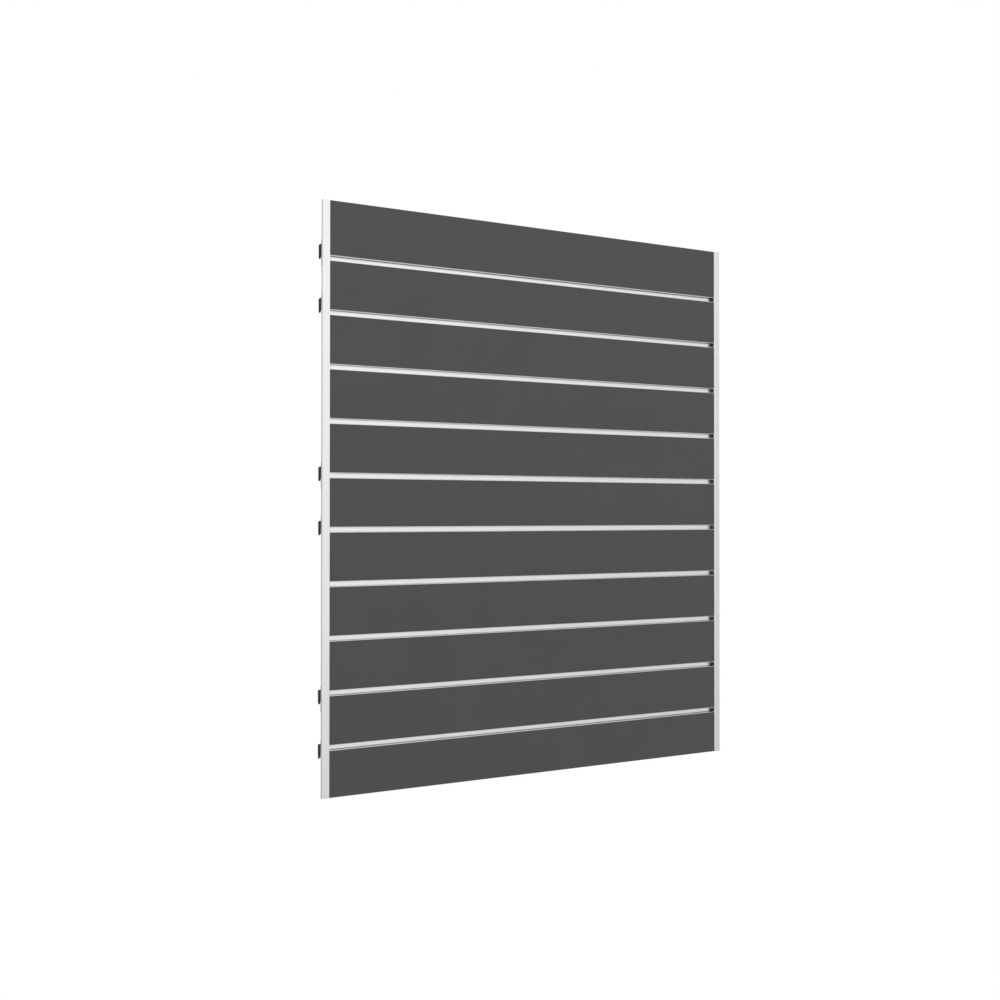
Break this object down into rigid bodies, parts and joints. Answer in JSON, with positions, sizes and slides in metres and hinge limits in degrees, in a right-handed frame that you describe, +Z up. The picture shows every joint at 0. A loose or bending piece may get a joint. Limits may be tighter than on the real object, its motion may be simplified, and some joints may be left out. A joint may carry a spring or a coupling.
{
  "type": "slatwall panel",
  "caption": "Slatwall panel: a dark routed board with lined T-slots between pale edge trims, hung on slotted uprights by steel hooks at both ends.",
  "frame": {"origin": "centre of the board's rear face, the plane that bears on the uprights", "axes": "+X to the right seen from the front, +Y to the rear (the slots open towards -Y), +Z up"},
  "size_m": [0.96, 0.0308, 1.098],
  "materials": {
    "board": "anthracite melamine on medium-density fibreboard",
    "edge_band": "anthracite plastic edge band",
    "slot_insert": "satin natural anodised extrusion",
    "slot_plug": "black moulded plastic",
    "edge_trim": "pale satin extrusion",
    "hook_bracket": "black powder-coated steel",
    "black_screw": "black phosphated steel",
    "zinc_screw": "zinc-plated steel"
  },
  "bodies": {
    "root": {"slat_board": "board", "top_edge_band": "edge_band", "bottom_edge_band": "edge_band", "slot_insert_01": "slot_insert", "slot_insert_02": "slot_insert", "slot_insert_03": "slot_insert", "slot_insert_04": "slot_insert", "slot_insert_05": "slot_insert", "slot_insert_06": "slot_insert", "slot_insert_07": "slot_insert", "slot_insert_08": "slot_insert", "slot_insert_09": "slot_insert", "slot_insert_10": "slot_insert", "slot_plug_left_01": "slot_plug", "slot_plug_left_02": "slot_plug", "slot_plug_left_03": "slot_plug", "slot_plug_left_04": "slot_plug", "slot_plug_left_05": "slot_plug", "slot_plug_left_06": "slot_plug", "slot_plug_left_07": "slot_plug", "slot_plug_left_08": "slot_plug", "slot_plug_left_09": "slot_plug", "slot_plug_left_10": "slot_plug", "slot_plug_right_01": "slot_plug", "slot_plug_right_02": "slot_plug", "slot_plug_right_03": "slot_plug", "slot_plug_right_04": "slot_plug", "slot_plug_right_05": "slot_plug", "slot_plug_right_06": "slot_plug", "slot_plug_right_07": "slot_plug", "slot_plug_right_08": "slot_plug", "slot_plug_right_09": "slot_plug", "slot_plug_right_10": "slot_plug", "edge_trim_left": "edge_trim", "edge_trim_right": "edge_trim", "hook_bracket_left_top": "hook_bracket", "hook_bracket_left_middle": "hook_bracket", "hook_bracket_left_bottom": "hook_bracket", "hook_bracket_right_top": "hook_bracket", "hook_bracket_right_middle": "hook_bracket", "hook_bracket_right_bottom": "hook_bracket", "bracket_screws": "black_screw", "trim_screws": "zinc_screw"}
  },
  "joints": []
}
